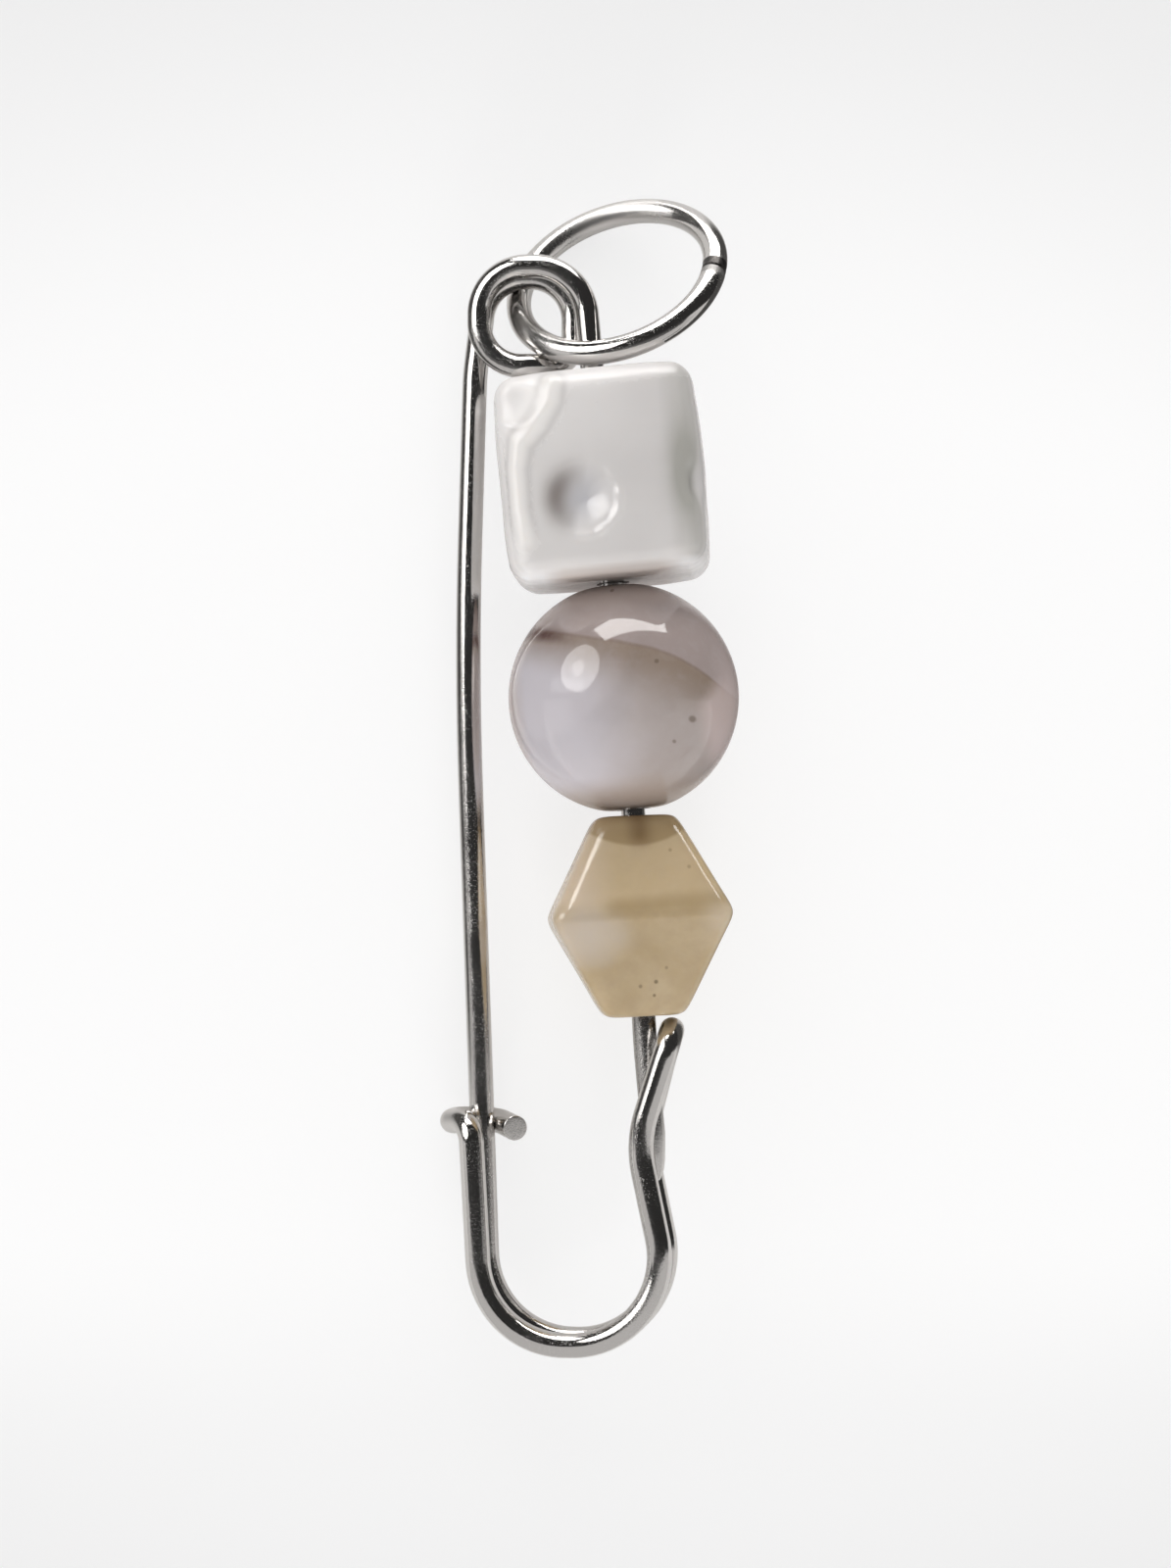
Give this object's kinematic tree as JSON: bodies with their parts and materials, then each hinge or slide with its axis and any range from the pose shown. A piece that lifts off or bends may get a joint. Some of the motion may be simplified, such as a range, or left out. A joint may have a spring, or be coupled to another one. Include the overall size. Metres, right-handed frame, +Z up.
{
  "type": "beaded safety pin brooch",
  "caption": "Steel safety pin brooch with a coil, a double hook catch, stone and ceramic beads on its needle, and a jump ring through the coil.",
  "frame": {"origin": "under the middle of the brooch, on the table that it lies on", "axes": "+Y along the pin from the catch to the coil, +Z up out of its front, +X to the needle's side"},
  "size_m": [0.0154, 0.0612, 0.012],
  "materials": {
    "steel": "polished",
    "white_glaze": "gloss",
    "grey_stone": "gloss",
    "tan_stone": "gloss"
  },
  "bodies": {
    "pin": {"pin_frame": "steel", "jump_ring": "steel"},
    "needle": {"pin_needle": "steel", "cube_bead": "white_glaze", "round_bead": "grey_stone", "spindle_bead": "tan_stone"}
  },
  "joints": [
    {"name": "needle_squeeze", "type": "hinge", "parent": "pin", "child": "needle", "pos_m": [-0.00311, 0.02361, 0.00511], "axis": [-0.2701, -0.02, 0.9626], "range_deg": [-2.8, 0], "stiffness_Nm_per_rad": 0.1}
  ]
}
